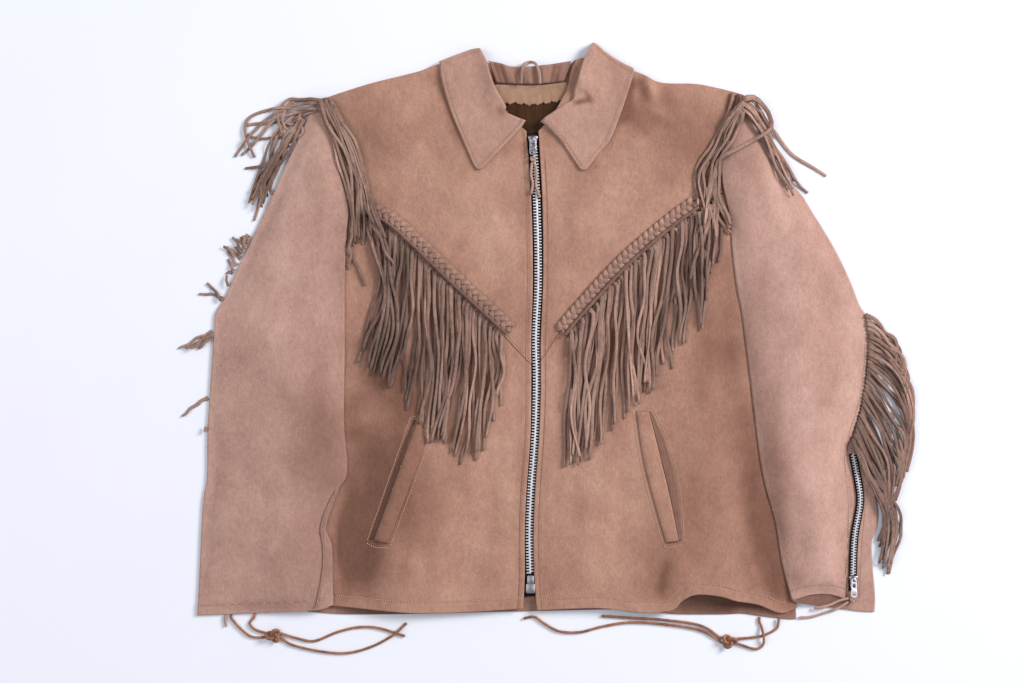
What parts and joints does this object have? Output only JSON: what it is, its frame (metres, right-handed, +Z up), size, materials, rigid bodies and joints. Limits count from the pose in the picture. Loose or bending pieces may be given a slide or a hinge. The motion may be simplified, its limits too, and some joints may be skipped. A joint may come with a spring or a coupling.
{
  "type": "fringed suede jacket laid flat",
  "caption": "Zip-front suede jacket laid flat, with pointed collar, braided yoke seams, long fringe and side laces.",
  "frame": {"origin": "on the floor under the middle of the jacket's outline, laces left out", "axes": "+X to the wearer's left, +Y from the hem to the collar, +Z up from the surface that the jacket lies on"},
  "size_m": [0.9152, 0.7612, 0.0179],
  "materials": {
    "suede": "brushed suede, dusty rose brown",
    "braid_suede": "plaited suede thong",
    "fringe_suede": "cut suede fringe",
    "facing": "olive tan suede facing",
    "lining": "brown satin",
    "pocket_lining": "dark pocket cloth",
    "thong": "orange brown leather lace",
    "pull_thong": "suede thong",
    "zip_metal": "nickel, lightly worn",
    "zip_tape": "black woven tape"
  },
  "bodies": {
    "jacket": {"back": "suede", "braid_l": "braid_suede", "braid_r": "braid_suede", "collar_leaf_l": "suede", "collar_leaf_r": "suede", "collar_stand": "suede", "cuff_slider": "zip_metal", "cuff_thong_end_r": "pull_thong", "cuff_zip_chain": "zip_metal", "cuff_zip_tape": "zip_tape", "fringe_shoulder_front_l": "fringe_suede", "fringe_shoulder_front_r": "fringe_suede", "fringe_shoulder_out_l": "fringe_suede", "fringe_shoulder_out_r": "fringe_suede", "fringe_sleeve_l": "fringe_suede", "fringe_sleeve_r": "fringe_suede", "fringe_yoke_l": "fringe_suede", "fringe_yoke_r": "fringe_suede", "front_lower_l": "suede", "front_lower_r": "suede", "front_yoke_l": "suede", "front_yoke_r": "suede", "hanger_loop": "pull_thong", "lace_knot_l": "thong", "lace_knot_r": "thong", "lace_loop_a_l": "thong", "lace_loop_a_r": "thong", "lace_loop_b_l": "thong", "lace_loop_b_r": "thong", "lace_tail_a_l": "thong", "lace_tail_a_r": "thong", "lace_tail_b_l": "thong", "lace_tail_b_r": "thong", "neck_facing": "facing", "neck_lining": "lining", "pocket_mouth_l": "pocket_lining", "pocket_mouth_r": "pocket_lining", "pocket_welt_l": "suede", "pocket_welt_r": "suede", "sleeve_under_l": "suede", "sleeve_under_r": "suede", "sleeve_upper_l": "suede", "sleeve_upper_r": "suede", "zip_box": "zip_metal", "zip_chain": "zip_metal", "zip_slider": "zip_metal", "zip_tape": "zip_tape"},
    "zip_tab": {"zip_pull": "zip_metal", "zip_pull_knot": "pull_thong", "zip_thong_a": "pull_thong", "zip_thong_b": "pull_thong"},
    "cuff_tab": {"cuff_pull": "zip_metal", "cuff_pull_knot": "pull_thong", "cuff_thong_a": "pull_thong", "cuff_thong_b": "pull_thong"}
  },
  "joints": [
    {"name": "zip_tab_hinge", "type": "hinge", "parent": "jacket", "child": "zip_tab", "pos_m": [-0.01694, 0.24202, 0.01478], "axis": [-1, 0, 0], "range_deg": [0, 150]},
    {"name": "cuff_tab_hinge", "type": "hinge", "parent": "jacket", "child": "cuff_tab", "pos_m": [0.38126, -0.30328, 0.008], "axis": [-1, 0, 0], "range_deg": [0, 140]}
  ]
}
